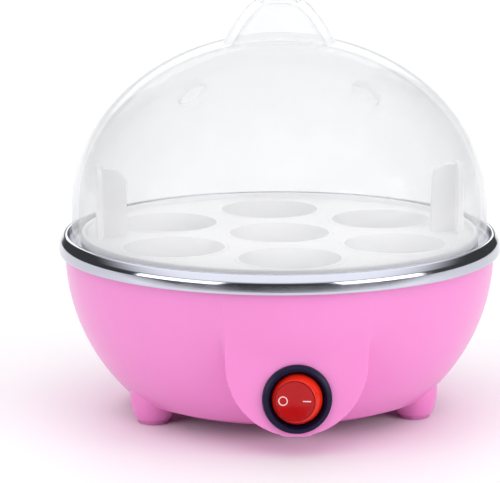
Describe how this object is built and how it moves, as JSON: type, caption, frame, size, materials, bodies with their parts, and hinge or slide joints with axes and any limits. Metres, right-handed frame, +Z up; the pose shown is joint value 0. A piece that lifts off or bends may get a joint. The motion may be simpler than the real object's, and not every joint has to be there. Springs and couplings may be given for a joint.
{
  "type": "egg cooker",
  "caption": "Bowl-shaped electric egg steamer with a rimmed metal water pan, lift-out egg tray, domed see-through lid and a round rocker switch.",
  "frame": {"origin": "on the floor under the middle of the bowl, between the feet", "axes": "+Z up, switch towards -Y, cord outlet towards +Y"},
  "size_m": [0.151, 0.151, 0.1415],
  "materials": {
    "housing": "satin moulded polypropylene, pink",
    "pad_rubber": "soft translucent grey",
    "cover": "fine spark texture, pink",
    "fastener_steel": "zinc plated",
    "pan_steel": "polished stainless steel",
    "seal_rubber": "silicone",
    "cast_aluminium": "as cast",
    "element_sheath": "annealed tube",
    "tab_brass": "tinned brass",
    "plated_steel": "zinc plated",
    "fuse_case": "plain",
    "glass_sleeve": "woven glass fibre",
    "black_plastic": "satin",
    "white_plastic": "plain",
    "rocker_red": "polished, slightly see-through",
    "mark_white": "printed",
    "lamp_glass": "clear",
    "lead_brown": "silicone covered",
    "lead_blue": "silicone covered",
    "lead_green": "silicone covered",
    "tray_white": "satin white polypropylene",
    "lid_clear": "clear polished"
  },
  "bodies": {
    "base": {"base_housing": "housing", "foot_pads": "pad_rubber", "bottom_cover": "cover", "bottom_screws": "fastener_steel", "water_pan": "pan_steel", "pan_seal": "seal_rubber", "heat_spreader": "cast_aluminium", "heating_element": "element_sheath", "element_terminals": "tab_brass", "pan_stud": "fastener_steel", "clamp_strap": "plated_steel", "stud_nut": "fastener_steel", "thermostat": "cast_aluminium", "thermostat_tabs": "tab_brass", "thermal_fuse": "fuse_case", "fuse_sleeve": "glass_sleeve", "fuse_clip": "plated_steel", "earth_tab": "tab_brass", "earth_screw": "fastener_steel", "cord_gland": "black_plastic", "gland_nut": "black_plastic", "terminal_block": "white_plastic", "block_screws": "fastener_steel", "switch_body": "black_plastic", "switch_terminals": "tab_brass", "spade_connectors": "tab_brass", "thermostat_spades": "tab_brass", "element_spades": "tab_brass", "live_lead": "lead_brown", "switched_lead": "lead_brown", "fuse_lead": "lead_brown", "element_lead": "lead_brown", "neutral_lead": "lead_blue", "earth_lead": "lead_green"},
    "tray": {"egg_tray": "tray_white"},
    "lid": {"lid": "lid_clear"},
    "rocker": {"switch_rocker": "rocker_red", "rocker_marks": "mark_white", "rocker_plunger": "tab_brass", "indicator_lamp": "lamp_glass"},
    "contact": {"contact_blade": "tab_brass"}
  },
  "joints": [
    {"name": "tray_lift", "type": "slide", "parent": "base", "child": "tray", "axis": [0, 0, 1], "range_m": [0, 0.08]},
    {"name": "lid_lift", "type": "slide", "parent": "tray", "child": "lid", "axis": [0, 0, 1], "range_m": [0, 0.12]},
    {"name": "rocker_tilt", "type": "hinge", "parent": "base", "child": "rocker", "pos_m": [0, -0.0688, 0.01944], "axis": [0, 0.0698, 0.9976], "range_deg": [0, 24]},
    {"name": "contact_tilt", "type": "hinge", "parent": "base", "child": "contact", "pos_m": [0, -0.06182, 0.01896], "axis": [0, 0.0698, 0.9976], "range_deg": [-12, 0]}
  ],
  "couplings": [
    {"joint": "contact_tilt", "follows": "rocker_tilt", "ratio": -0.5}
  ]
}
